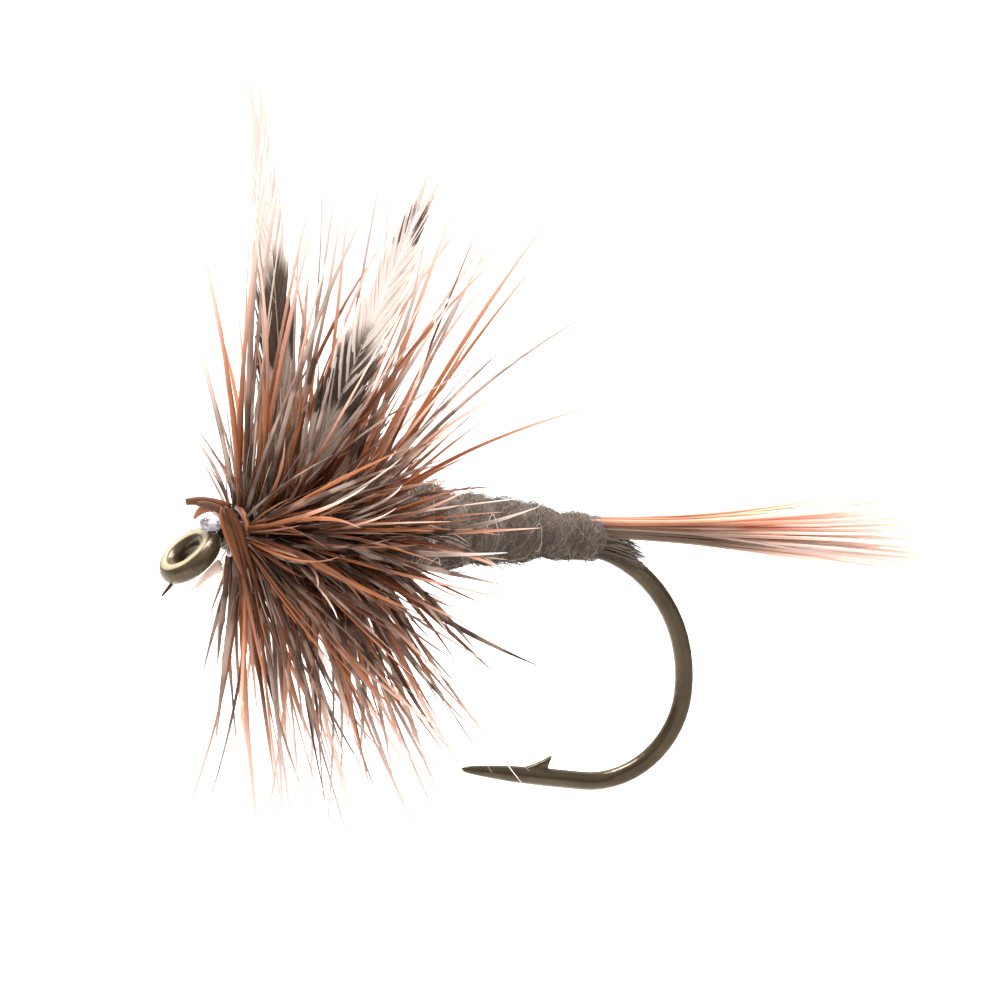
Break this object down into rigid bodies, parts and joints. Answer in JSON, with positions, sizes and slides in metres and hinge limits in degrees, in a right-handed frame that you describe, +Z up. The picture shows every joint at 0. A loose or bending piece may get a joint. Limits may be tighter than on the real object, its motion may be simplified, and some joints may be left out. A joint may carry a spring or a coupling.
{
  "type": "dry fly",
  "caption": "Upright-winged dry fly on a down-eyed hook, with a grey dubbed fur body, a mixed brown and barred hackle collar, divided feather-tip wings and a fibre tail",
  "frame": {"origin": "the centre of the hole in the hook eye, where the leader's tippet is tied", "axes": "+X along the hook shank from the eye to the bend and tail; +Z up, away from the hook point, along the wings; +Y across the fly, so that XZ is the plane of the hook"},
  "size_m": [0.0211, 0.0176, 0.019],
  "materials": {
    "hook_bronze": "bronze lacquered steel wire, glossy",
    "tying_thread": "waxed grey tying thread",
    "head_cement": "clear glossy lacquer",
    "grey_fur": "spun underfur, matt and fuzzy",
    "brown_feather": "glossy red-brown feather fibre",
    "barred_feather": "feather fibre barred in grey-black and off-white",
    "wing_feather": "soft feather barred in grey-black and cream-white"
  },
  "bodies": {
    "root": {"hook": "hook_bronze", "thread_underwrap": "tying_thread", "thread_head": "tying_thread", "head_cement": "head_cement", "wing_lashing": "tying_thread", "wing_figure_eight": "tying_thread", "dubbed_body": "grey_fur", "tail_wraps": "tying_thread", "tail_fibre_barred_11": "barred_feather", "tail_fibre_barred_12": "barred_feather", "tail_fibre_barred_13": "barred_feather", "tail_fibre_barred_14": "barred_feather", "tail_fibre_barred_15": "barred_feather", "tail_fibre_barred_21": "barred_feather", "tail_fibre_barred_22": "barred_feather", "tail_fibre_barred_23": "barred_feather", "tail_fibre_barred_24": "barred_feather", "tail_fibre_barred_25": "barred_feather", "tail_fibre_brown_31": "brown_feather", "tail_fibre_brown_32": "brown_feather", "tail_fibre_brown_33": "brown_feather", "tail_fibre_brown_34": "brown_feather", "tail_fibre_brown_41": "brown_feather", "tail_fibre_brown_42": "brown_feather", "tail_fibre_brown_43": "brown_feather", "tail_fibre_brown_44": "brown_feather", "wing_near": "wing_feather", "wing_far": "wing_feather", "hackle_brown": "brown_feather", "hackle_barred": "barred_feather"}
  },
  "joints": []
}
